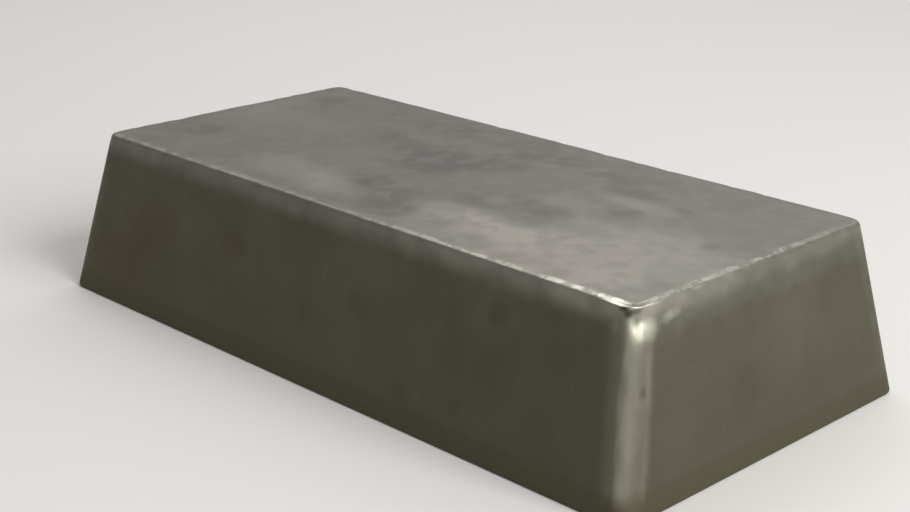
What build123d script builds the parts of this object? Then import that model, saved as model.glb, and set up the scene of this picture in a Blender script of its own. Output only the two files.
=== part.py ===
"""Iron ingot: a tapered bar of iron, cast in one piece in an open mould and turned out onto its wide face.

Its length runs along X, its width along Y and its height along Z. The origin is the centre of the wide
face, which lies on the floor.
"""

import os
from math import cos, radians, sin, tan

from build123d import *

# Driving dimensions, in millimetres and degrees.
overall_length = 240.0  # along X, across the rounded rim of the wide face
overall_width = 123.0  # along Y, across the rounded rim of the wide face
height = 52.5
end_draft = 9.5  # lean of the two ends from the upright, so that the casting leaves its mould
side_draft = 12.0  # lean of the two long sides from the upright
base_corner_radius = 5.5  # upright corners, where they meet the wide face
top_corner_radius = 5.0  # upright corners, where they meet the narrow face
base_edge_radius = 1.0  # rim of the wide face, rounded where the melt met the mould's wall
top_edge_radius = 2.0  # rim of the narrow face, from the round in the foot of the mould


def foot_beyond_rim(draft):
    """How far the sharp foot of a leaning wall stands out past the widest point of its rounded rim."""
    lean = radians(draft)
    return base_edge_radius * ((1 + sin(lean)) / cos(lean) - 1)


def lean_in(draft):
    """How far a wall leans in over the whole height."""
    return height * tan(radians(draft))


# Outlines of the two faces with sharp rims: the wide one on the floor, and what the draft leaves on top.
base_length = overall_length + 2 * foot_beyond_rim(end_draft)
base_width = overall_width + 2 * foot_beyond_rim(side_draft)
top_length = base_length - 2 * lean_in(end_draft)
top_width = base_width - 2 * lean_in(side_draft)

with BuildPart() as ingot:
    with BuildSketch(Plane.XY) as wide_outline:
        RectangleRounded(base_length, base_width, base_corner_radius)
    with BuildSketch(Plane.XY.offset(height)) as narrow_outline:
        RectangleRounded(top_length, top_width, top_corner_radius)
    loft(ruled=True)

    wide_face, narrow_face = ingot.faces().filter_by(Plane.XY).sort_by(Axis.Z)
    base_rim = wide_face.outer_wire().edges()
    top_rim = narrow_face.outer_wire().edges()
    fillet(top_rim, radius=top_edge_radius)
    fillet(base_rim, radius=base_edge_radius)

ingot.part.label = "ingot"

os.makedirs("parts", exist_ok=True)
export_step(ingot.part, "parts/ingot.step")
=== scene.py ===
"""Iron ingot: its cast surface, its worn finish and a small studio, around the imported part.

Everything is in metres in the part's own frame: length along X, width along Y and height along Z, with the
origin at the centre of the wide face, on the floor.
"""

from math import cos, pi, radians, sin

import bpy
import numpy as np
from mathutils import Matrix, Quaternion, Vector


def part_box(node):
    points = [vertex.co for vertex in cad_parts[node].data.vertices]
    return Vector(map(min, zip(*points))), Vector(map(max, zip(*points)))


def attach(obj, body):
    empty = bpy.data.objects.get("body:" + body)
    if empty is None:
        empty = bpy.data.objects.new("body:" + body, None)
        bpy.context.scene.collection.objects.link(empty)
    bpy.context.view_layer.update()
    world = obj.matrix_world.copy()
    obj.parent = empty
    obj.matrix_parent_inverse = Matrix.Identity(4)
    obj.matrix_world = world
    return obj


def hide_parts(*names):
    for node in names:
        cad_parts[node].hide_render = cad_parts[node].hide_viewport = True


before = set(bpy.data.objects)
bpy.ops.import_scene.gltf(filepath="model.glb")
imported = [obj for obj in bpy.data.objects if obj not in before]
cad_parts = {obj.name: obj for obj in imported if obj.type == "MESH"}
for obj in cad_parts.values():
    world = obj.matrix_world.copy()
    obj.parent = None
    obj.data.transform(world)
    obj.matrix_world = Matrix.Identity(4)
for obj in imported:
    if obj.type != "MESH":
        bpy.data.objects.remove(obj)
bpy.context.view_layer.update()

MM = 0.001

# Sizes of the casting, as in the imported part.
lowest_corner, highest_corner = (np.array(corner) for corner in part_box("ingot"))
overall_length, overall_width, height = highest_corner - lowest_corner
drafts = np.radians([9.5, 12.0])  # lean of the two ends and of the two long sides from the upright
base_corner_radius = 5.5 * MM
top_corner_radius = 5.0 * MM
base_edge_radius = 1.0 * MM
top_edge_radius = 2.0 * MM

# Half the length and half the width that the walls would have at the floor and at the top with sharp rims.
foot_beyond_rim = base_edge_radius * ((1 + np.sin(drafts)) / np.cos(drafts) - 1)
half_base = np.array([overall_length, overall_width]) / 2 + foot_beyond_rim
half_top = half_base - height * np.tan(drafts)

# How finely the surface is laid out: steps round the outline, and rows up the wall.
long_side_steps = 232
end_steps = 104
half_corner_steps = 10
foot_rows = 5
wall_rows = 46
rim_rows = 15
row_crowding = 0.55  # rows of the wall stand closer together toward the narrow face, where the wear is


def smooth_ramp(start, end, value):
    """0 before start, 1 after end, and the cubic 3t^2 - 2t^3 between them. Start may be larger than end."""
    share = np.clip((value - start) / (end - start), 0.0, 1.0)
    return share * share * (3.0 - 2.0 * share)


def bell(value, centre, reach):
    """A bell curve: 1 at the centre, and 0.61 at one reach from it."""
    return np.exp(-0.5 * ((value - centre) / reach) ** 2)


def lattice_noise(places, spacing, seed):
    """Uneven height from -1 to 1: random numbers on a cubic lattice, blended by a smooth cubic in between."""
    side = 64
    heights = np.random.default_rng(seed).uniform(-1.0, 1.0, (side, side, side))
    scaled = places / spacing
    cell = np.floor(scaled).astype(int)
    share = scaled - cell
    share = share * share * (3.0 - 2.0 * share)
    total = np.zeros(places.shape[:-1])
    for corner in np.ndindex(2, 2, 2):
        weight = np.prod(np.where(corner, share, 1.0 - share), axis=-1)
        x, y, z = np.moveaxis((cell + corner) % side, -1, 0)
        total += weight * heights[x, y, z]
    return total


def outline_path():
    """One trip round a rounded rectangle, anticlockwise from the middle of the corner at -X, -Y.

    A point of the outline is a corner's centre plus the radius times a facing direction. Along a side the
    centre slides from one corner to the next and the facing stays; in a corner the facing turns and the
    centre stays. Returns the slide, from -1 to 1 along X and Y, and the facing.
    """
    slides = []
    facings = []
    for quarter, steps in enumerate((long_side_steps, end_steps, long_side_steps, end_steps)):
        step = np.arange(steps)
        straight_steps = steps - 2 * half_corner_steps
        turn_in = np.clip(step / half_corner_steps, 0.0, 1.0) - 1.0
        turn_out = np.clip((step - half_corner_steps - straight_steps) / half_corner_steps, 0.0, 1.0)
        facing_angle = (quarter - 1) * pi / 2 + (turn_in + turn_out) * pi / 4
        slide = 2.0 * np.clip((step - half_corner_steps) / straight_steps, 0.0, 1.0) - 1.0
        across = -np.ones(steps)
        for _ in range(quarter):
            slide, across = -across, slide
        slides.append(np.stack([slide, across], axis=-1))
        facings.append(np.stack([np.cos(facing_angle), np.sin(facing_angle)], axis=-1))
    return np.concatenate(slides), np.concatenate(facings)


def wall_sheet():
    """The four leaning walls with their rounded rims: one profile carried round the outline.

    At each point of the outline the profile starts flat on the floor, turns up through the round of the foot,
    runs straight up the leaning wall and turns in through the round of the narrow face. The outline shrinks
    from the wide face to the narrow one, so the lean of the profile changes through each corner.
    Returns places and outward directions, each as rows by steps.
    """
    slide, facing = outline_path()
    along = np.stack([-facing[:, 1], facing[:, 0]], axis=-1)
    foot = slide * (half_base - base_corner_radius) + base_corner_radius * facing
    head = slide * (half_top - top_corner_radius) + top_corner_radius * facing
    lean = np.arctan2(-((head - foot) * facing).sum(axis=-1), height)
    sideways = ((head - foot) * along).sum(axis=-1)

    foot_share = np.linspace(0.0, 1.0, foot_rows + 1)[:, None]
    even_share = np.linspace(0.0, 1.0, wall_rows + 1)[1:-1, None]
    wall_share = even_share * (1.0 + row_crowding * (1.0 - even_share))
    rim_share = np.linspace(0.0, 1.0, rim_rows + 1)[:, None]
    foot_turn = -pi / 2 + foot_share * (lean + pi / 2)
    rim_turn = lean + rim_share * (pi / 2 - lean)
    foot_out = base_edge_radius * (np.cos(foot_turn) - np.tan(lean) - 1 / np.cos(lean))
    foot_up = base_edge_radius * (1 + np.sin(foot_turn))
    rim_centre_out = -(height - top_edge_radius) * np.tan(lean) - top_edge_radius / np.cos(lean)
    rim_out = rim_centre_out + top_edge_radius * np.cos(rim_turn)
    rim_up = height - top_edge_radius * (1 - np.sin(rim_turn))
    wall_out = foot_out[-1] + wall_share * (rim_out[0] - foot_out[-1])
    wall_up = foot_up[-1] + wall_share * (rim_up[0] - foot_up[-1])

    turn = np.concatenate([foot_turn, np.broadcast_to(lean, wall_out.shape), rim_turn])
    out = np.concatenate([foot_out, wall_out, rim_out])
    up = np.concatenate([foot_up, wall_up, rim_up])
    level = foot + out[..., None] * facing + (sideways * up / height)[..., None] * along
    places = np.concatenate([level, up[..., None]], axis=-1)
    outward = np.concatenate([np.cos(turn)[..., None] * facing, np.sin(turn)[..., None]], axis=-1)
    return places, outward


def span(ring):
    """A grid that fills a closed ring of points: each point blends the four sides of the ring that face it.

    It is the sum of the two straight blends between opposite sides, less the blend of the four corners.
    """
    first, second, third = np.cumsum([long_side_steps, end_steps, long_side_steps])
    south = ring[: first + 1]
    east = ring[first : second + 1]
    north = ring[second : third + 1][::-1]
    west = np.concatenate([ring[third:], ring[:1]])[::-1]
    u = np.linspace(0.0, 1.0, long_side_steps + 1)[:, None, None]
    v = np.linspace(0.0, 1.0, end_steps + 1)[None, :, None]
    between_long_sides = (1 - v) * south[:, None] + v * north[:, None]
    between_ends = (1 - u) * west[None, :] + u * east[None, :]
    corners = (1 - u) * ((1 - v) * south[0] + v * north[0]) + u * ((1 - v) * south[-1] + v * north[-1])
    return between_long_sides + between_ends - corners


def span_numbers(ring_numbers, first_free):
    """Vertex numbers of such a grid: its border is the ring's own vertices, and the rest are new, in rows."""
    numbers = np.empty((long_side_steps + 1, end_steps + 1), int)
    first, second, third = np.cumsum([long_side_steps, end_steps, long_side_steps])
    numbers[:, 0] = ring_numbers[: first + 1]
    numbers[-1, :] = ring_numbers[first : second + 1]
    numbers[:, -1] = ring_numbers[second : third + 1][::-1]
    numbers[0, :] = np.append(ring_numbers[third:], ring_numbers[0])[::-1]
    inner = numbers[1:-1, 1:-1]
    inner[...] = first_free + np.arange(inner.size).reshape(inner.shape)
    return numbers


def quads(numbers):
    """The four-sided faces of a grid of vertex numbers."""
    corners = [numbers[:-1, :-1], numbers[1:, :-1], numbers[1:, 1:], numbers[:-1, 1:]]
    return np.stack(corners, axis=-1).reshape(-1, 4)


# Below, a name that ends in _fade is the two ends of a smooth ramp: where it is still 0, and where it is 1.

# Unevenness of the casting.
mould_wave = 0.14 * MM  # slow unevenness of the mould's wall
mould_wave_spacing = 26.0 * MM
skin_wave = 0.05 * MM  # the coarse end of the sand's grain
skin_wave_spacing = 5.0 * MM
foot_unevenness = 0.3  # share of the unevenness that is left at the floor, so that the foot sits flat
foot_unevenness_fade = (0.0, 4.0 * MM)  # height above the floor

# Wear of the round of the narrow face.
rim_wear = 0.18 * MM  # uneven rubbing along the round
rim_wear_spacing = 4.0 * MM
rim_wear_fade = (3.5 * MM, 2.0 * MM)  # way from the sharp rim
rim_flat = 0.12 * MM  # depth of the narrow flat that handling has worn along the round
rim_flat_tilt = radians(17.0)  # how far the flat leans out from level
tip_flat_reach = 1.2 * MM  # how far in from the outline the flat worn on the front tip begins
tip_flat_tilt = radians(22.0)  # how far that flat leans out from level
tip_flat_facing = radians(-88.0)  # which way it leans, anticlockwise from +X: toward the front long side
tip_flat_fade = (12.0 * MM, 6.0 * MM)  # way from where it begins

# Small knocks along the edges of the narrow face.
ding_count = 60
ding_inset = 0.4 * MM  # their centres lie this far in from the sharp rim, and as far below it
ding_reach = (0.7, 1.7)  # least and greatest, in millimetres
ding_depth = (0.08, 0.24)  # least and greatest, in millimetres

# Knocks that stand out: centre, reach and depth in millimetres. The first has dented the front corner, just
# under its tip, the second is a nick beside it, and the third is on the far corner.
knocks = [
    ((111.9, -48.0, 48.7), 2.9, 1.6),
    ((108.2, -50.6, 51.2), 0.7, 0.3),
    ((-114.0, 54.0, 26.0), 1.8, 0.5),
]


def way_inside(places):
    """Distance in from the outline that the narrow face would have with a sharp rim, seen from above.

    Along a side it is the distance from that side; near a corner it is the radius less the distance from the
    corner's centre.
    """
    beyond = np.abs(places[..., :2]) - (half_top - top_corner_radius)
    past_centre = np.hypot(*np.moveaxis(np.maximum(beyond, 0.0), -1, 0))
    return top_corner_radius - past_centre - np.minimum(beyond.max(axis=-1), 0.0)


def way_below_rim(places):
    """Distance from the sharp line where a wall would meet the narrow face: the larger of in and down."""
    inside = (half_top - np.abs(places[..., :2])).min(axis=-1)
    below = height - places[..., 2]
    return np.maximum(inside, below)


def way_from_corner(places):
    """Distance round the outline from the middle of the nearest upright corner, below 0 toward a long side.

    Seen from the corner's centre at that height, it is the radius times the angle from the corner's middle,
    plus the way that a point lies back along a side.
    """
    share_up = places[..., 2:] / height
    half_size = half_base + share_up * (half_top - half_base)
    radius = base_corner_radius + share_up * (top_corner_radius - base_corner_radius)
    from_centre = np.abs(places[..., :2]) - (half_size - radius)
    beyond = np.maximum(from_centre, 0.0)
    back = np.minimum(from_centre, 0.0)
    angle = pi / 4 - np.arctan2(beyond[..., 1], beyond[..., 0])
    return radius[..., 0] * angle + back[..., 0] - back[..., 1]


def dings(places):
    """Depth of the knocks, the small ones at random and the large ones: the deepest of their bell curves."""
    chance = np.random.default_rng(11)
    hollows = [(np.array(centre) * MM, reach * MM, depth * MM) for centre, reach, depth in knocks]
    for _ in range(ding_count):
        share = chance.uniform(-1.0, 1.0, 2)
        share[chance.integers(0, 2)] = chance.choice([-1.0, 1.0])
        centre = np.append(share * (half_top - ding_inset), height - ding_inset)
        hollows.append((centre, chance.uniform(*ding_reach) * MM, chance.uniform(*ding_depth) * MM))
    sunk = np.zeros(places.shape[:-1])
    for centre, reach, depth in hollows:
        apart = np.sqrt(((places - centre) ** 2).sum(axis=-1))
        sunk = np.maximum(sunk, depth * bell(apart, 0.0, reach))
    return sunk


def worn_flat(outward):
    """Depth of the flat worn along the rim: what of the round stands above a plane laid across it.

    Along the outward direction that is the radius times the cosine of the angle to the plane's own direction,
    less the plane's distance from the round's centre, over that cosine.
    """
    off_plane = np.cos(np.arccos(np.clip(outward[..., 2], -1.0, 1.0)) - rim_flat_tilt)
    above = top_edge_radius * off_plane - (top_edge_radius - rim_flat)
    # Nothing stands above the plane where the cosine is small, so there the divisor is only kept away from 0.
    return np.maximum(above, 0.0) / np.maximum(off_plane, 0.5)


def tip_flat(places):
    """Depth of the flat worn on the front tip: the height above a plane that leans out there.

    The plane begins a little way in from the outline, at the middle of the corner, and the depth fades with
    the distance from there.
    """
    toward_tip = np.array([1.0, -1.0]) / np.sqrt(2.0)
    corner_centre = (half_top - top_corner_radius) * (1.0, -1.0)
    start = np.append(corner_centre + (top_corner_radius - tip_flat_reach) * toward_tip, height)
    outward = sin(tip_flat_tilt) * np.array([cos(tip_flat_facing), sin(tip_flat_facing)])
    above = (places - start) @ np.append(outward, cos(tip_flat_tilt))
    near_tip = smooth_ramp(*tip_flat_fade, np.sqrt(((places - start) ** 2).sum(axis=-1)))
    return near_tip * np.maximum(above, 0.0)


def relief(places, outward):
    """How far the real surface lies inside the drawn one: never less than 0.

    It adds up the waves of the mould and of the skin, which are lower at the floor, the wear near the rim and
    the knocks.
    """
    wave = mould_wave * 0.5 * (1.0 + lattice_noise(places, mould_wave_spacing, seed=1))
    skin = skin_wave * 0.5 * (1.0 + lattice_noise(places, skin_wave_spacing, seed=2))
    off_floor = smooth_ramp(*foot_unevenness_fade, places[..., 2])
    uneven = (foot_unevenness + (1.0 - foot_unevenness) * off_floor) * (wave + skin)
    rubbed = rim_wear * 0.5 * (1.0 + lattice_noise(places, rim_wear_spacing, seed=3))
    flat = np.maximum(worn_flat(outward), tip_flat(places))
    near_rim = smooth_ramp(*rim_wear_fade, way_below_rim(places))
    return uneven + near_rim * (rubbed + flat) + dings(places)


# Stains and marks on the finish: centre and reach along X, Y and Z in millimetres, and strength.

# Dark clouds of scale left on the rubbed narrow face.
dark_clouds = [
    ((-12, 4, 52), (15, 12, 5), 0.85),
    ((-19, 13, 52), (11, 7, 5), 0.45),
    ((3, 18, 52), (10, 9, 5), 0.7),
    ((-40, 13, 52), (12, 6, 5), 0.45),
    ((-34, 33, 52), (15, 7, 5), 0.35),
    ((10, 34, 52), (15, 6, 5), 0.4),
    ((38, 29, 52), (10, 5, 5), 0.55),
    ((46, 37, 52), (9, 5, 5), 0.3),
    ((52, 23, 52), (11, 5, 5), 0.6),
    ((73, 20, 52), (4, 3, 5), 0.4),
    ((62, 5, 52), (5, 5, 5), 0.6),
    ((-9, -25, 52), (8, 6, 5), 1.0),
    ((6, -28, 52), (7, 7, 5), 0.6),
    ((12, -39, 52), (9, 7, 5), 0.8),
    ((34, -7, 52), (6, 4, 5), 0.55),
    ((47, -9, 52), (6, 6, 5), 0.65),
    ((24, -16, 52), (8, 6, 5), 0.4),
    ((-92, -25, 52), (7, 9, 5), 0.6),
    ((-96, 32, 52), (9, 6, 5), 0.5),
    ((-60, 31, 52), (8, 5, 5), 0.3),
    ((15, 38, 52), (72, 10, 5), 0.28),
]

# Patches of the narrow face that are rubbed paler than the rest.
pale_patches = [
    ((46, -31, 52), (26, 9, 5), 1.0),
    ((84, -24, 52), (28, 22, 5), 0.75),
    ((76, -43, 52), (34, 9, 5), 0.55),
    ((34, -43, 52), (20, 6, 5), 0.35),
    ((-16, -36, 52), (10, 7, 5), 0.45),
    ((-38, -32, 52), (16, 8, 5), 0.35),
    ((-88, 3, 52), (20, 14, 5), 0.15),
    ((59, 14, 52), (12, 4, 5), 0.35),
    ((46, 2, 52), (10, 7, 5), 0.25),
    ((28, -13, 52), (4, 4, 5), 0.4),
    ((-102, 20, 52), (6, 26, 5), 0.22),
]

# Rust stains on the walls: the front long side, the near end, and then the two hidden sides.
rust_stains = [
    ((-80, -55, 27), (11, 12, 8), 0.7),
    ((-92, -58, 16), (13, 12, 8), 0.65),
    ((-38, -54, 32), (7, 8, 5), 0.35),
    ((113, -18, 35), (8, 9, 5), 0.1),
    ((113, -39, 28), (8, 6, 6), 0.12),
    ((54, 56, 24), (16, 10, 10), 0.6),
    ((-28, 57, 14), (12, 8, 6), 0.5),
    ((-114, 22, 26), (8, 13, 9), 0.6),
]

# Dark spots of slag and burnt-on sand: the front long side, the near end, the front corner, and then the two
# hidden sides. The last three on the front corner, just under its tip, are painted shade instead: in the nick
# there and in a dark line under the tip's lip.
dark_spots = [
    ((69, -52, 40), (3.5, 6, 3), 0.5),
    ((55, -54, 30), (5, 8, 11), 0.25),
    ((-38, -54, 33), (6, 6, 3), 0.3),
    ((-4, -56, 22), (3, 6, 3), 0.25),
    ((18, -55, 28), (4, 6, 3), 0.25),
    ((38, -58, 10), (3, 6, 3), 0.3),
    ((59, -58, 12), (2, 6, 2), 0.4),
    ((116, -10, 20), (8, 6, 6), 0.3),
    ((113, 30, 37), (8, 7, 6), 0.2),
    ((114.4, -50.4, 31.5), (1.8, 1.5, 1.7), 0.6),
    # Painted shade: in the nick under the front tip and in a dark line beneath the tip's lip.
    ((107.9, -50.8, 51.3), (1.3, 1.2, 0.9), 0.9),
    ((109.1, -50.3, 50.1), (1.3, 1.2, 1.1), 1.0),
    ((110.5, -48.8, 50.6), (1.8, 1.8, 0.6), 0.55),
    ((-62, 54, 32), (5, 8, 4), 0.4),
    ((12, 55, 27), (4, 7, 6), 0.35),
    ((88, 57, 14), (6, 7, 4), 0.35),
    ((-116, -18, 17), (8, 5, 4), 0.4),
]

# Fresh scrapes that show bright metal: in the dent of the front corner, grazes near it on both walls, and one
# on each hidden side. The two in the dent are also a painted highlight: their pale warm colour paints the
# lamp's glint there.
scrapes_and_highlights = [
    # Painted highlight as well as scrape: the glint on the dent's lower slope, pale and warm.
    ((112.0, -48.0, 45.8), (3.8, 3.8, 2.9), 0.28),
    ((112.9, -45.8, 46.8), (2.6, 2.8, 3.4), 0.42),
    ((112.8, -39.0, 47.3), (3.0, 2.0, 1.2), 0.26),
    ((112.7, -36.4, 48.0), (3.0, 2.4, 1.2), 0.26),
    ((106.5, -51.3, 47.0), (1.2, 3.0, 2.2), 0.15),
    ((-60.0, 50.5, 48.0), (5.0, 3.0, 1.3), 0.4),
    ((-112.0, 14.0, 47.5), (3.0, 4.0, 1.4), 0.35),
]

# How soft a mark's edge is, and how far broad lumps and fine grains shift it, as shares of the mark's reach,
# with the spacing of those lumps and grains.
cloud_softness = 0.4
scrape_and_highlight_softness = 0.45
stain_softness = 0.6
edge_lumps = 0.34
edge_lump_spacing = 8.0 * MM
edge_grains = 0.22
edge_grain_spacing = 3.2 * MM


def stains(places, marks, softness):
    """Soft patches that lie over one another.

    The strength fades with the distance from the centre in units of the reach, from 1 less the softness to 1
    plus it. Uneven noise is added to that distance, which makes the edge ragged.
    """
    ragged = edge_lumps * lattice_noise(places, edge_lump_spacing, seed=40)
    ragged = ragged + edge_grains * lattice_noise(places, edge_grain_spacing, seed=41)
    clear = np.ones(places.shape[:-1])
    for centre, reach, strength in marks:
        apart = np.sqrt((((places / MM - np.array(centre)) / np.array(reach)) ** 2).sum(axis=-1))
        clear = clear * (1.0 - strength * smooth_ramp(1.0 + softness, 1.0 - softness, apart + ragged))
    return 1.0 - clear


# The skin is rubbed off the narrow face and a little way down the walls, farther down the ends.
rim_raggedness = 0.9 * MM
rim_raggedness_spacing = 7.0 * MM
bare_down = 2.0 * MM  # all of the skin is gone down to here
skin_down_end = 11.5 * MM  # and all of it is left below here on an end
skin_down_long_side = 7.8 * MM  # or here on a long side
side_fade = (-2.0 * MM, 2.0 * MM)  # where an end's wear turns into a long side's, at a corner

# The walls are faintly polished under the rim, in lumps, and more near the front tip.
rim_polish_end = 0.17
rim_polish_long_side = 0.1
rim_polish_fade = (6.5 * MM, 1.5 * MM)  # way down
rim_polish_top_fade = (0.8 * MM, 0.0)  # way in from the outline
rim_polish_lumps = 0.6
rim_polish_lump_spacing = 5.5 * MM
rim_polish_at_tip = 0.9  # how much more of it there is
rim_polish_tip_fade = (34.0 * MM, 10.0 * MM)

front_tip = np.append(half_top * (1.0, -1.0), height)


def way_from_front_tip(places):
    """Straight distance from the tip that the front corner would have with sharp rims."""
    return np.sqrt(((places - front_tip) ** 2).sum(axis=-1))


def long_side_share(places):
    """1 where a long side is the nearest wall, 0 where an end is, and a smooth ramp across the corners."""
    from_walls = half_top - np.abs(places[..., :2])
    return smooth_ramp(*side_fade, from_walls[..., 0] - from_walls[..., 1])


def ragged_way_down(places):
    """Distance below the narrow face, with noise added."""
    return height - places[..., 2] + rim_raggedness * lattice_noise(places, rim_raggedness_spacing, seed=20)


def bare_rim(places):
    """Share of the skin that is rubbed off near the rim: a straight fall with the way down the wall."""
    skin_down = skin_down_end + (skin_down_long_side - skin_down_end) * long_side_share(places)
    return np.clip((skin_down - ragged_way_down(places)) / (skin_down - bare_down), 0.0, 1.0)


def rim_polish(places):
    """Faint polish of the walls under the rim: the product of its fades, its lumps and its strength there."""
    strength = rim_polish_end + (rim_polish_long_side - rim_polish_end) * long_side_share(places)
    off_narrow_face = smooth_ramp(*rim_polish_top_fade, way_inside(places))
    near_rim = smooth_ramp(*rim_polish_fade, ragged_way_down(places))
    lumps = 1.0 + rim_polish_lumps * lattice_noise(places, rim_polish_lump_spacing, seed=25)
    near_tip = 1.0 + rim_polish_at_tip * smooth_ramp(*rim_polish_tip_fade, way_from_front_tip(places))
    return strength * off_narrow_face * near_rim * lumps * near_tip


# Each upright corner is rubbed in a strip, most along its two borders, and the front one most of all. The rub
# is
# partly painted light: it is strongest where the corner faces away from the lamps, so that the front corner
# looks evenly lit. Ways round the corner count from its middle and are below 0 toward the long side.
corner_foot_fade = (3.0 * MM, 10.0 * MM)  # height above the floor
corner_rim_fade = (1.0 * MM, 4.0 * MM)  # way below the narrow face
corner_raggedness = 0.3 * MM
corner_raggedness_spacing = 6.0 * MM
corner_bare = 0.2  # share of the skin that is rubbed off there
corner_bare_fade = (7.0 * MM, 2.5 * MM)  # way round, to either side
strip_long_side_fade = (-4.6 * MM, -2.6 * MM)  # way round
strip_end_fade = (8.2 * MM, 5.0 * MM)
strip_polish = 0.065  # between its borders
# Painted light: the border toward the long side is polished most, which lightens the half of the corner that
# faces away from the lamps, so that the strip looks evenly lit.
long_side_border = (-1.4 * MM, 1.3 * MM)  # where the border lies, and its reach
long_side_border_polish_and_painted_light = 0.23
end_border = (5.0 * MM, 1.3 * MM)
end_border_polish = 0.08
# The fainter band beside the strip is painted light: it paints the lightening of a wider round.
lead_in_painted_light = 0.075  # a fainter band beside the strip, on the long side
lead_in_outer_fade = (-8.5 * MM, -4.8 * MM)
lead_in_inner_fade = (-1.0 * MM, -3.5 * MM)
top_narrowing = 1.6 * MM  # the strip is this much narrower toward the narrow face
top_narrowing_fade = (32.0 * MM, 43.0 * MM)  # height above the floor
foot_narrowing = 0.4 * MM  # and this much toward the foot
foot_narrowing_fade = (20.0 * MM, 6.0 * MM)
streak_spacing = 2.0 * MM
streak_shape = (1.0, 1.0, 0.12)  # streaks are about eight times as tall as they are wide
other_corner_polish = 0.2  # share of the front corner's polish that the other three have
front_corner_reach = 40.0 * MM


def on_upright_corner(places):
    """1 over most of a wall's height, fading to 0 toward the foot and under the rim."""
    up = places[..., 2]
    return smooth_ramp(*corner_foot_fade, up) * smooth_ramp(*corner_rim_fade, height - up)


def ragged_way_round(places):
    """Distance round the outline from the middle of the nearest upright corner, with noise added."""
    ragged = corner_raggedness * lattice_noise(places, corner_raggedness_spacing, seed=21)
    return way_from_corner(places) + ragged


def bare_corner(places):
    """Share of the skin that is rubbed off the upright corners: most in the middle, fading to either side."""
    near_middle = smooth_ramp(*corner_bare_fade, np.abs(ragged_way_round(places)))
    return corner_bare * on_upright_corner(places) * near_middle


def corner_polish_and_painted_light(places):
    """Polish of the upright corners, partly painted light: a strip with a bell curve along each border, in
    upright streaks.

    The strip's edge toward the long side moves in near the narrow face and near the foot. Beside it the
    fainter band of painted light shows wherever it is stronger than the strip.
    """
    up = places[..., 2]
    aside = ragged_way_round(places)
    narrowed = top_narrowing * smooth_ramp(*top_narrowing_fade, up)
    narrowed = narrowed + foot_narrowing * smooth_ramp(*foot_narrowing_fade, up)
    strip = smooth_ramp(*strip_long_side_fade, aside - narrowed) * smooth_ramp(*strip_end_fade, aside)
    borders = long_side_border_polish_and_painted_light * bell(aside, *long_side_border)
    borders = borders + end_border_polish * bell(aside, *end_border)
    streaks = 1.0 + 0.5 * lattice_noise(places * streak_shape, streak_spacing, seed=23)
    lead_in = smooth_ramp(*lead_in_outer_fade, aside) * smooth_ramp(*lead_in_inner_fade, aside - narrowed)
    # This polish is partly painted light, as the borders and the band beside the strip are.
    polish = np.maximum(strip * (strip_polish + borders) * streaks, lead_in_painted_light * lead_in)
    at_front = places[..., 0] - places[..., 1] > half_top.sum() - front_corner_reach
    return on_upright_corner(places) * polish * np.where(at_front, 1.0, other_corner_polish)


# The round of the narrow face is burnished in a thin ragged line, brighter and wider toward the front tip.
# That growth toward the tip and the bright flat on the tip are a painted highlight: the lamps' glint near the
# front corner.
line_outer_fade = (0.0, 0.5 * MM)  # way in from the outline
line_inner_fade = (0.8 * MM, 0.0)  # way in from the line's inner edge
line_width = 1.5 * MM  # from the outline to that edge
line_widening = 1.0 * MM  # how much more it is at the front tip
line_widening_fade = (12.0 * MM, 3.0 * MM)  # way from the front tip
line_lower_fade = (2.0 * MM, 1.0 * MM)  # way below the narrow face
line_raggedness = 0.9 * MM
line_raggedness_spacing = 5.0 * MM
far_burnish = 0.11
# What is added toward the front tip is a painted highlight, the rim's glint there, on top of the burnish.
middle_highlight_burnish = 0.19  # what is added nearer the front tip
middle_highlight_burnish_fade = (100.0 * MM, 50.0 * MM)  # way from the front tip
near_highlight_burnish_end = 0.16  # and what is added close to it, on the end
near_highlight_burnish_long_side = 0.6  # and on the long side
near_highlight_burnish_fade = (40.0 * MM, 8.0 * MM)
# The flat on the tip is painted as a highlight: its bright colour stands in for the glint there.
tip_highlight_burnish = 4.0  # far above 1, so that the flat on the tip is bright between the finish's beads too
tip_highlight_burnish_fade = (0.0, 0.2 * MM)  # depth of the flat on the tip


def burnished_line_and_highlight(places):
    """The bright line along the round, or the flat on the tip where that is brighter: burnish, with a painted
    highlight toward the tip and on the flat.

    The line is the product of its fades across the round and of its strength, which grows toward the tip.
    """
    to_tip = way_from_front_tip(places)
    inside = way_inside(places)
    ragged_inside = inside + line_raggedness * lattice_noise(places, line_raggedness_spacing, seed=24)
    inner_edge = line_width + line_widening * smooth_ramp(*line_widening_fade, to_tip)
    line = smooth_ramp(*line_outer_fade, inside) * smooth_ramp(*line_inner_fade, ragged_inside - inner_edge)
    line = line * smooth_ramp(*line_lower_fade, height - places[..., 2])
    near_highlight_burnish = near_highlight_burnish_end + (near_highlight_burnish_long_side - near_highlight_burnish_end) * long_side_share(places)
    burnish = far_burnish + middle_highlight_burnish * smooth_ramp(*middle_highlight_burnish_fade, to_tip)
    burnish = burnish + near_highlight_burnish * smooth_ramp(*near_highlight_burnish_fade, to_tip)
    return np.maximum(burnish * line, tip_highlight_burnish * smooth_ramp(*tip_highlight_burnish_fade, tip_flat(places)))


# The foot is browned by soil: a band with a ragged upper edge, and a slow change above it.
foot_band_fade = (8.0 * MM, 6.0 * MM)  # height above the floor
foot_raggedness = 0.5 * MM
foot_raggedness_spacing = 12.0 * MM
soil = 0.5
soil_fade = (44.0 * MM, 10.0 * MM)  # height above the floor


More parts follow.
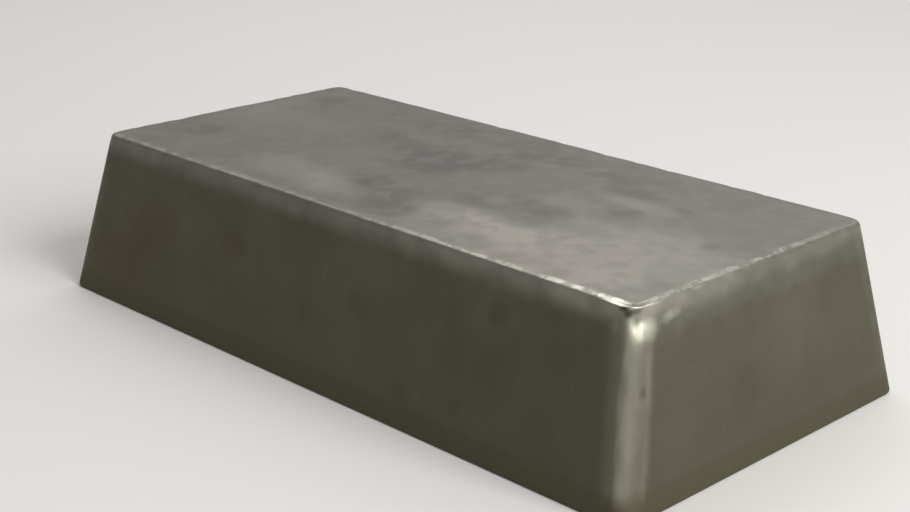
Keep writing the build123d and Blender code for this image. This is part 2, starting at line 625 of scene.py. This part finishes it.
def soiled_foot(places):
    """Share of soil on the foot: the larger of the band and the slow change."""
    up = places[..., 2]
    ragged_up = up + foot_raggedness * lattice_noise(places, foot_raggedness_spacing, seed=22)
    return np.maximum(smooth_ramp(*foot_band_fade, ragged_up), soil * smooth_ramp(*soil_fade, up))


def wear_and_painted_light_marks(places):
    """What the finish reads at each point, painted light and shade among it: shares from 0 to 1, and the
    beaded rub and highlight, which may be more.
    """
    # The corners' polish here is partly painted light.
    polish = np.maximum(corner_polish_and_painted_light(places), rim_polish(places))
    return {
        "bare": np.maximum(bare_rim(places), bare_corner(places)),
        "beaded_rub_and_highlight": burnished_line_and_highlight(places),
        "even_rub_and_painted_light": np.maximum(polish, stains(places, scrapes_and_highlights, scrape_and_highlight_softness)),
        "dark_cloud": stains(places, dark_clouds, cloud_softness),
        "pale_patch": stains(places, pale_patches, stain_softness),
        "rust": stains(places, rust_stains, stain_softness),
        "dark_spot": stains(places, dark_spots, stain_softness),
        "foot": soiled_foot(places),
    }


def cast_ingot():
    """The whole casting as one closed surface: the wall sheet, and a spanned grid over each of its rims.

    Every point is then moved in by the relief, against its outward direction.
    """
    wall_places, wall_outward = wall_sheet()
    rows, steps = wall_places.shape[:2]
    top_places = span(wall_places[-1])[1:-1, 1:-1].reshape(-1, 3)
    base_places = span(wall_places[0])[1:-1, 1:-1].reshape(-1, 3)
    upward = np.array([0.0, 0.0, 1.0])
    top_outward = np.broadcast_to(upward, top_places.shape)
    base_outward = np.broadcast_to(-upward, base_places.shape)
    places = np.concatenate([wall_places.reshape(-1, 3), top_places, base_places])
    outward = np.concatenate([wall_outward.reshape(-1, 3), top_outward, base_outward])
    points = places - relief(places, outward)[:, None] * outward

    wall_numbers = np.arange(rows * steps).reshape(rows, steps)
    wall_numbers = np.concatenate([wall_numbers, wall_numbers[:, :1]], axis=1)
    top_numbers = span_numbers(wall_numbers[-1, :-1], rows * steps)
    base_numbers = span_numbers(wall_numbers[0, :-1], rows * steps + len(top_places))
    faces = np.concatenate([quads(wall_numbers.T), quads(top_numbers), quads(base_numbers.T)])

    mesh = bpy.data.meshes.new("cast_ingot")
    mesh.from_pydata(points, [], faces)
    mesh.polygons.foreach_set("use_smooth", np.ones(len(faces), bool))
    mesh.update()
    mesh.validate()
    for name, amount in wear_and_painted_light_marks(places).items():
        mesh.attributes.new(name, "FLOAT", "POINT").data.foreach_set("value", amount.astype(np.float32))
    piece = bpy.data.objects.new("cast_ingot", mesh)
    bpy.context.collection.objects.link(piece)
    return piece


# Sockets of a Mix node, by number, because several of them have the same name.
SHARE = 0
FIRST_NUMBER = 2
SECOND_NUMBER = 3
FIRST_COLOUR = 6
SECOND_COLOUR = 7
MIXED_COLOUR = 2


def linear(hex_colour):
    """An sRGB hex colour as linear red, green, blue and an alpha of 1."""
    srgb = np.array([int(hex_colour[place : place + 2], 16) for place in (1, 3, 5)]) / 255
    curved = np.where(srgb <= 0.04045, srgb / 12.92, ((srgb + 0.055) / 1.055) ** 2.4)
    return (*curved.tolist(), 1.0)


def node(tree, kind, inputs=None, **settings):
    """Adds a node: settings are its properties, and inputs give its sockets, by name or number, their values.

    A value may be another node's output, which is then linked.
    """
    made = tree.nodes.new(kind)
    for name, value in settings.items():
        setattr(made, name, value)
    for name, value in (inputs or {}).items():
        if isinstance(value, bpy.types.NodeSocket):
            tree.links.new(value, made.inputs[name])
        else:
            made.inputs[name].default_value = value
    return made


def new_material(name):
    """An empty material with nodes, its tree and its output."""
    material = bpy.data.materials.new(name)
    material.use_nodes = True
    tree = material.node_tree
    tree.nodes.clear()
    return material, tree, tree.nodes.new("ShaderNodeOutputMaterial")


def per_metre(size_in_mm):
    """The scale of a noise pattern whose lumps are about this many millimetres across."""
    return 1.0 / (size_in_mm * MM)


# Sizes of the patterns in the finish, in millimetres.
skin_cloud_size = 22
smear_size = 8
smear_shape = (1.0, 1.0, 0.15)  # smears run up the walls, the way the casting was drawn
iron_cloud_size = 18
mottle_size = 6
bare_edge_size = 4.5
bead_size = 3.0
grain_size = 1.5  # the sand's grain is finer, and is drawn this coarse so that it shows
grain_depth = 0.12


def casting_skin(tree, place):
    """Colour of the mould's oxide skin: dull olive grey, clouded, smeared by the draw, with soil and rust."""
    clouds = node(
        tree,
        "ShaderNodeTexNoise",
        {"Vector": place, "Scale": per_metre(skin_cloud_size), "Detail": 5.0, "Roughness": 0.55},
    )
    cloud_share = node(
        tree,
        "ShaderNodeMapRange",
        {"Value": clouds.outputs[0], "From Min": 0.3, "From Max": 0.7},
    )
    olive = node(
        tree,
        "ShaderNodeMix",
        {
            SHARE: cloud_share.outputs[0],
            FIRST_COLOUR: linear("#514e3f"),
            SECOND_COLOUR: linear("#5c594b"),
        },
        data_type="RGBA",
    )
    upright = node(tree, "ShaderNodeMapping", {"Vector": place, "Scale": smear_shape})
    smears = node(
        tree,
        "ShaderNodeTexNoise",
        {"Vector": upright.outputs[0], "Scale": per_metre(smear_size), "Detail": 2.0, "Roughness": 0.5},
    )
    smear_share = node(
        tree,
        "ShaderNodeMapRange",
        {"Value": smears.outputs[0], "From Min": 0.45, "From Max": 0.75, "To Max": 0.2},
    )
    smeared = node(
        tree,
        "ShaderNodeMix",
        {
            SHARE: smear_share.outputs[0],
            FIRST_COLOUR: olive.outputs[MIXED_COLOUR],
            SECOND_COLOUR: linear("#474438"),
        },
        data_type="RGBA",
    )
    foot = node(tree, "ShaderNodeAttribute", attribute_name="foot")
    soiled = node(
        tree,
        "ShaderNodeMix",
        {
            SHARE: foot.outputs["Fac"],
            FIRST_COLOUR: smeared.outputs[MIXED_COLOUR],
            SECOND_COLOUR: linear("#4f4a38"),
        },
        data_type="RGBA",
    )
    rust = node(tree, "ShaderNodeAttribute", attribute_name="rust")
    rusted = node(
        tree,
        "ShaderNodeMix",
        {
            SHARE: rust.outputs["Fac"],
            FIRST_COLOUR: soiled.outputs[MIXED_COLOUR],
            SECOND_COLOUR: linear("#544539"),
        },
        data_type="RGBA",
    )
    return rusted.outputs[MIXED_COLOUR]


def rubbed_iron(tree, place):
    """Colour of iron with its skin rubbed off: warm grey, with pale patches, leftover scale and mottle."""
    clouds = node(
        tree,
        "ShaderNodeTexNoise",
        {"Vector": place, "Scale": per_metre(iron_cloud_size), "Detail": 6.0, "Roughness": 0.6},
    )
    cloud_share = node(
        tree,
        "ShaderNodeMapRange",
        {"Value": clouds.outputs[0], "From Min": 0.3, "From Max": 0.7},
    )
    grey = node(
        tree,
        "ShaderNodeMix",
        {
            SHARE: cloud_share.outputs[0],
            FIRST_COLOUR: linear("#6b6a62"),
            SECOND_COLOUR: linear("#77736a"),
        },
        data_type="RGBA",
    )
    pale = node(tree, "ShaderNodeAttribute", attribute_name="pale_patch")
    paled = node(
        tree,
        "ShaderNodeMix",
        {
            SHARE: pale.outputs["Fac"],
            FIRST_COLOUR: grey.outputs[MIXED_COLOUR],
            SECOND_COLOUR: linear("#98938b"),
        },
        data_type="RGBA",
    )
    scale = node(tree, "ShaderNodeAttribute", attribute_name="dark_cloud")
    scaled = node(
        tree,
        "ShaderNodeMix",
        {
            SHARE: scale.outputs["Fac"],
            FIRST_COLOUR: paled.outputs[MIXED_COLOUR],
            SECOND_COLOUR: linear("#605f59"),
        },
        data_type="RGBA",
    )
    mottle = node(
        tree,
        "ShaderNodeTexNoise",
        {"Vector": place, "Scale": per_metre(mottle_size), "Detail": 2.0, "Roughness": 0.5},
    )
    mottle_share = node(
        tree,
        "ShaderNodeMapRange",
        {"Value": mottle.outputs[0], "From Min": 0.48, "From Max": 0.66, "To Max": 0.5},
    )
    mottled = node(
        tree,
        "ShaderNodeMix",
        {
            SHARE: mottle_share.outputs[0],
            FIRST_COLOUR: scaled.outputs[MIXED_COLOUR],
            SECOND_COLOUR: linear("#7c7971"),
        },
        data_type="RGBA",
    )
    return mottled.outputs[MIXED_COLOUR]


def cast_iron():
    """Grey iron as it leaves the mould, rubbed by handling.

    The oxide skin is dull, dark and only half metallic to the eye. Where stacking and handling have rubbed it
    off, on the narrow face, along its rim and down the upright corners, bare grey iron shows, and the rim is
    burnished in bright beads. Some of the pale and dark colour is painted light: highlights on the rim near
    the front tip and in the front corner's dent, light that evens the front corner's shading, and shade under
    its tip.
    """
    material, tree, output = new_material("grey_iron_rubbed_with_painted_light")
    place = node(tree, "ShaderNodeTexCoord").outputs["Object"]

    # Where the skin is gone: the mark on the surface, with a ragged edge.
    ragged = node(
        tree,
        "ShaderNodeTexNoise",
        {"Vector": place, "Scale": per_metre(bare_edge_size), "Detail": 4.0, "Roughness": 0.6},
    )
    bare_mark = node(tree, "ShaderNodeAttribute", attribute_name="bare")
    bare_sum = node(
        tree,
        "ShaderNodeMath",
        {0: ragged.outputs[0], 1: 0.6, 2: bare_mark.outputs["Fac"]},
        operation="MULTIPLY_ADD",
    )
    bare = node(
        tree,
        "ShaderNodeMapRange",
        {"Value": bare_sum.outputs[0], "From Min": 0.35, "From Max": 1.25},
    )

    # Where the iron is burnished: in beads along the rim, and evenly on the corners and in scrapes. Part of
    # it is
    # painted light: the beads' growth toward the front tip, the evened light on the front corner and the
    # glint in the front corner's dent.
    beads = node(
        tree,
        "ShaderNodeTexNoise",
        {"Vector": place, "Scale": per_metre(bead_size), "Detail": 3.0, "Roughness": 0.55},
    )
    bead_share = node(
        tree,
        "ShaderNodeMapRange",
        {"Value": beads.outputs[0], "From Min": 0.41, "From Max": 0.57, "To Min": 0.2},
    )
    bead_mark = node(tree, "ShaderNodeAttribute", attribute_name="beaded_rub_and_highlight")
    beaded = node(
        tree,
        "ShaderNodeMath",
        {0: bead_mark.outputs["Fac"], 1: bead_share.outputs[0]},
        operation="MULTIPLY",
        use_clamp=True,
    )
    even_mark = node(tree, "ShaderNodeAttribute", attribute_name="even_rub_and_painted_light")
    burnish = node(
        tree,
        "ShaderNodeMath",
        {0: beaded.outputs[0], 1: even_mark.outputs["Fac"]},
        operation="MAXIMUM",
    )

    # Colour: skin and iron, then the even rub, the beads and the dark spots over them. These three are partly
    # painted
    # light: highlights on the rim and in the front corner's dent, light across that corner, and shade under
    # its tip.
    worn = node(
        tree,
        "ShaderNodeMix",
        {
            SHARE: bare.outputs[0],
            FIRST_COLOUR: casting_skin(tree, place),
            SECOND_COLOUR: rubbed_iron(tree, place),
        },
        data_type="RGBA",
    )
    # Pale warm rub, partly painted light: the glint in the dent and the evened light on the front corner.
    rubbed = node(
        tree,
        "ShaderNodeMix",
        {
            SHARE: even_mark.outputs["Fac"],
            FIRST_COLOUR: worn.outputs[MIXED_COLOUR],
            SECOND_COLOUR: linear("#c9c7b3"),
        },
        data_type="RGBA",
    )
    # Pale beads, partly a painted highlight along the rim toward the front tip; burnished here stands for
    # both.
    burnished = node(
        tree,
        "ShaderNodeMix",
        {
            SHARE: beaded.outputs[0],
            FIRST_COLOUR: rubbed.outputs[MIXED_COLOUR],
            SECOND_COLOUR: linear("#cecbc2"),
        },
        data_type="RGBA",
    )
    # Dark spots, partly painted shade in the nick and under the lip of the front tip.
    spot = node(tree, "ShaderNodeAttribute", attribute_name="dark_spot")
    colour = node(
        tree,
        "ShaderNodeMix",
        {
            SHARE: spot.outputs["Fac"],
            FIRST_COLOUR: burnished.outputs[MIXED_COLOUR],
            SECOND_COLOUR: linear("#453f33"),
        },
        data_type="RGBA",
    )

    # Sheen: the skin is rough and half metallic, bare iron smoother, and burnished iron smoothest.
    metallic = node(
        tree,
        "ShaderNodeMapRange",
        {"Value": bare.outputs[0], "To Min": 0.55, "To Max": 0.9},
    )
    worn_roughness = node(
        tree,
        "ShaderNodeMapRange",
        {"Value": bare.outputs[0], "To Min": 0.62, "To Max": 0.48},
    )
    roughness = node(
        tree,
        "ShaderNodeMix",
        {SHARE: burnish.outputs[0], FIRST_NUMBER: worn_roughness.outputs[0], SECOND_NUMBER: 0.3},
        data_type="FLOAT",
    )
    grain = node(
        tree,
        "ShaderNodeTexNoise",
        {"Vector": place, "Scale": per_metre(grain_size), "Detail": 3.0, "Roughness": 0.6},
    )
    grain_relief = node(
        tree,
        "ShaderNodeBump",
        {"Strength": 0.25, "Distance": grain_depth * MM, "Height": grain.outputs[0]},
    )
    surface = node(
        tree,
        "ShaderNodeBsdfPrincipled",
        {
            "Base Color": colour.outputs[MIXED_COLOUR],
            "Metallic": metallic.outputs[0],
            "Roughness": roughness.outputs[0],
            "Normal": grain_relief.outputs[0],
        },
    )
    tree.links.new(surface.outputs["BSDF"], output.inputs["Surface"])
    return material


def pale_floor():
    """A flat pale sheet, far larger than the view. It is matt paper, an even ground without a shine."""
    reach = 6.0
    corners = [(-reach, -reach, 0.0), (reach, -reach, 0.0), (reach, reach, 0.0), (-reach, reach, 0.0)]
    mesh = bpy.data.meshes.new("floor")
    mesh.from_pydata(corners, [], [(0, 1, 2, 3)])
    floor = bpy.data.objects.new("floor", mesh)
    bpy.context.collection.objects.link(floor)
    material, tree, output = new_material("matt_pale_paper")
    surface = node(
        tree,
        "ShaderNodeBsdfPrincipled",
        {"Base Color": linear("#d8d6d2"), "Roughness": 0.9},
    )
    tree.links.new(surface.outputs["BSDF"], output.inputs["Surface"])
    mesh.materials.append(material)


# The soft boxes are all of one size, at one distance from the middle of the part.
box_size = 0.7
box_distance = 1.2
part_middle = Vector((0.0, 0.0, 0.03))
open_box = 180.0  # spread of a soft box's light
gridded_box = 120.0  # spread with a grid on the box, which keeps light off the floor under it
room_light = 0.36  # strength of the even light from all round


def soft_lamp(name, azimuth, elevation, power, spread):
    """A square soft box aimed at the part.

    It stands in a compass direction, anticlockwise from +X, at a height, both in degrees. Its power is in
    watts, and the spread is how wide its light opens, in degrees.
    """
    lamp = bpy.data.lights.new(name, "AREA")
    lamp.size = box_size
    lamp.energy = power
    lamp.spread = radians(spread)
    level = cos(radians(elevation))
    east = level * cos(radians(azimuth))
    north = level * sin(radians(azimuth))
    direction = Vector((east, north, sin(radians(elevation))))
    holder = bpy.data.objects.new(name, lamp)
    holder.location = part_middle + box_distance * direction
    holder.rotation_euler = direction.to_track_quat("Z", "Y").to_euler()
    holder.visible_camera = False
    bpy.context.collection.objects.link(holder)


def studio():
    """Three soft boxes round the part, the strongest at its right, in a dim even room."""
    soft_lamp("back_box", 112.0, 40.0, 2.5, open_box)
    soft_lamp("left_box", 155.0, 48.0, 2.7, open_box)
    soft_lamp("right_box", 0.0, 35.0, 7.1, gridded_box)
    world = bpy.data.worlds.new("dim_room")
    world.use_nodes = True
    background = world.node_tree.nodes["Background"]
    background.inputs["Color"].default_value = (1.0, 1.0, 1.0, 1.0)
    background.inputs["Strength"].default_value = room_light
    bpy.context.scene.world = world


def photo_camera():
    """The camera at the photo's viewing angle: right of the front, a little above, and a hair off level."""
    camera = bpy.data.cameras.new("camera")
    camera.sensor_fit = "HORIZONTAL"
    camera.sensor_width = 36.0
    camera.lens = 64.83
    camera.clip_start = 10 * MM
    holder = bpy.data.objects.new("camera", camera)
    holder.location = Vector((337.5, -337.3, 189.8)) * MM
    aim = Vector((1.23, -0.91, 26.0)) * MM
    tilt = Quaternion((0.0, 0.0, 1.0), radians(0.6))
    holder.rotation_euler = ((aim - holder.location).to_track_quat("-Z", "Y") @ tilt).to_euler()
    bpy.context.collection.objects.link(holder)
    bpy.context.scene.camera = holder


ingot = cast_ingot()
ingot.data.materials.append(cast_iron())
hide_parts("ingot")
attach(ingot, "root")

pale_floor()
studio()
photo_camera()
bpy.context.scene.view_settings.view_transform = "Standard"
